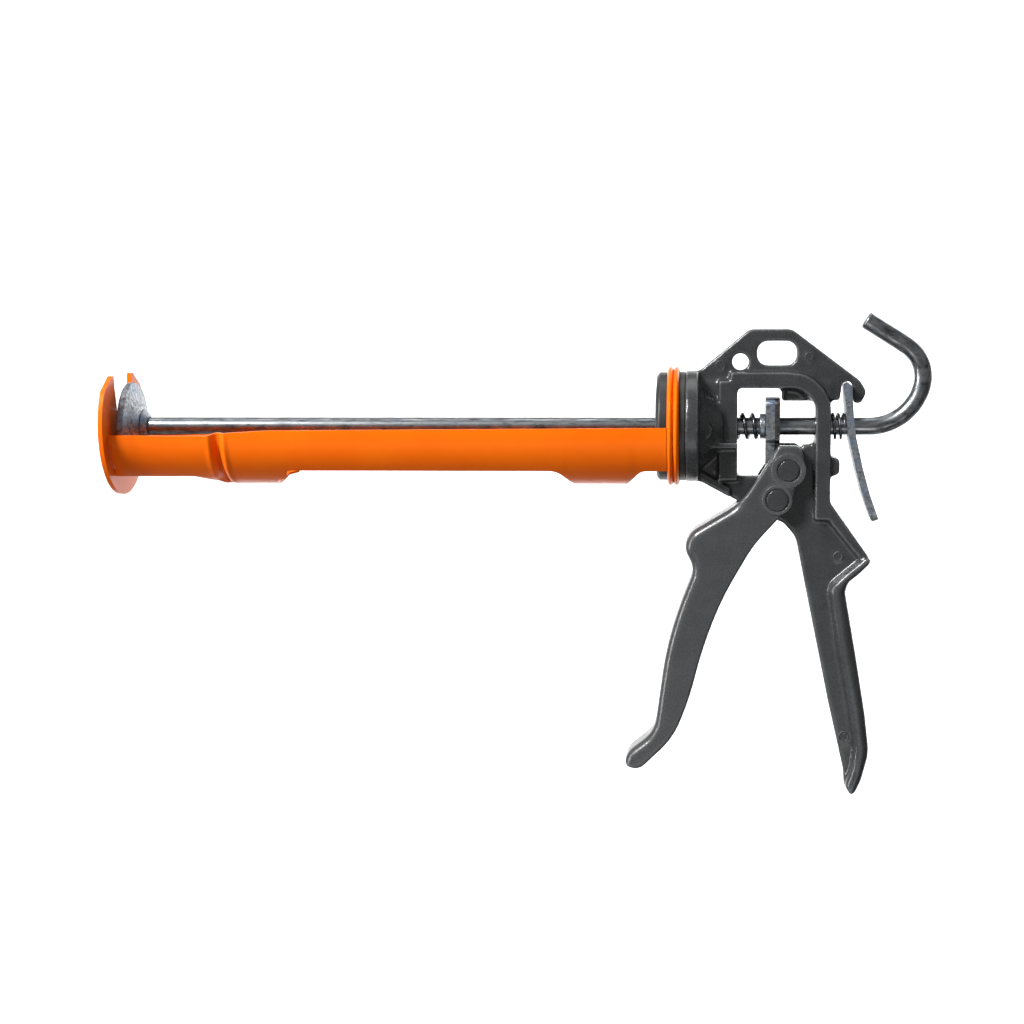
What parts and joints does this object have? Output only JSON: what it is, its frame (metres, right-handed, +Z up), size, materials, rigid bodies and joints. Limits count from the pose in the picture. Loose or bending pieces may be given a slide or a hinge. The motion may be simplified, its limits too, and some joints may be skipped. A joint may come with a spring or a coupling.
{
  "type": "caulking gun",
  "caption": "Hand-squeezed caulking gun with a swivelling open cradle, hooked push rod, grip-plate drive and a thumb release lever.",
  "frame": {"origin": "on the push rod's axis, at the rear face of the front plate, where a cartridge's shoulder seats", "axes": "+X along the push rod from the nozzle end to the hook, +Y across the gun through the fin, +Z up, from the trigger to the hang holes"},
  "size_m": [0.371, 0.063, 0.2194],
  "materials": {
    "orange_paint": "gloss orange powder coat on pressed steel",
    "grey_paint": "dark grey semi-gloss paint on die-cast aluminium",
    "painted_rivet": "steel rivet under the same dark grey paint",
    "black_plastic": "moulded black nylon",
    "rod_steel": "drawn steel bar with bright zinc plating",
    "zinc_plate": "bright zinc-plated steel sheet",
    "steel": "hardened steel, oiled",
    "spring_steel": "oil-tempered spring steel"
  },
  "bodies": {
    "frame": {"frame_casting": "grey_paint", "trigger_pivot_pin": "painted_rivet", "front_bush": "black_plastic", "rear_bush": "black_plastic", "retaining_ring": "spring_steel", "drive_spring": "spring_steel", "release_spring": "spring_steel"},
    "cradle": {"cradle_trough": "orange_paint", "front_plate": "orange_paint", "rear_ring": "orange_paint", "cradle_end_plate": "orange_paint"},
    "piston": {"piston_disc": "zinc_plate", "piston_hub": "zinc_plate"},
    "rod": {"push_rod": "rod_steel", "piston_washer": "zinc_plate", "piston_nut": "zinc_plate"},
    "trigger": {"trigger_casting": "grey_paint", "drive_pin": "painted_rivet", "drive_roller": "steel"},
    "grip": {"grip_plate_front": "zinc_plate", "grip_plate_rear": "steel", "spring_seat": "zinc_plate"},
    "release": {"release_lever": "zinc_plate"}
  },
  "joints": [
    {"name": "cradle_swivel", "type": "hinge", "parent": "frame", "child": "cradle", "pos_m": [0.2548, 0, 0], "axis": [1, 0, 0], "continuous": true},
    {"name": "rod_slide", "type": "slide", "parent": "frame", "child": "piston", "axis": [1, 0, 0], "range_m": [0, 0.229]},
    {"name": "rod_swivel", "type": "hinge", "parent": "piston", "child": "rod", "pos_m": [0.0083, 0, 0], "axis": [1, 0, 0], "range_deg": [-150, 150]},
    {"name": "trigger_pull", "type": "hinge", "parent": "frame", "child": "trigger", "pos_m": [0.3002, 0, -0.0324], "axis": [0, -1, 0], "range_deg": [0, 23], "stiffness_Nm_per_rad": 0.3, "springref_deg": -34.38},
    {"name": "grip_slide", "type": "slide", "parent": "frame", "child": "grip", "axis": [-1, 0, 0], "range_m": [0, 0.0058], "deforming": ["drive_spring"]},
    {"name": "release_press", "type": "hinge", "parent": "frame", "child": "release", "pos_m": [0.3312, 0, 0.018], "axis": [0, 1, 0], "range_deg": [0, 8], "stiffness_Nm_per_rad": 0.1, "springref_deg": -20.05, "deforming": ["release_spring"]}
  ],
  "couplings": [
    {"joint": "grip_slide", "follows": "trigger_pull", "m_per_rad": 0.0141}
  ]
}
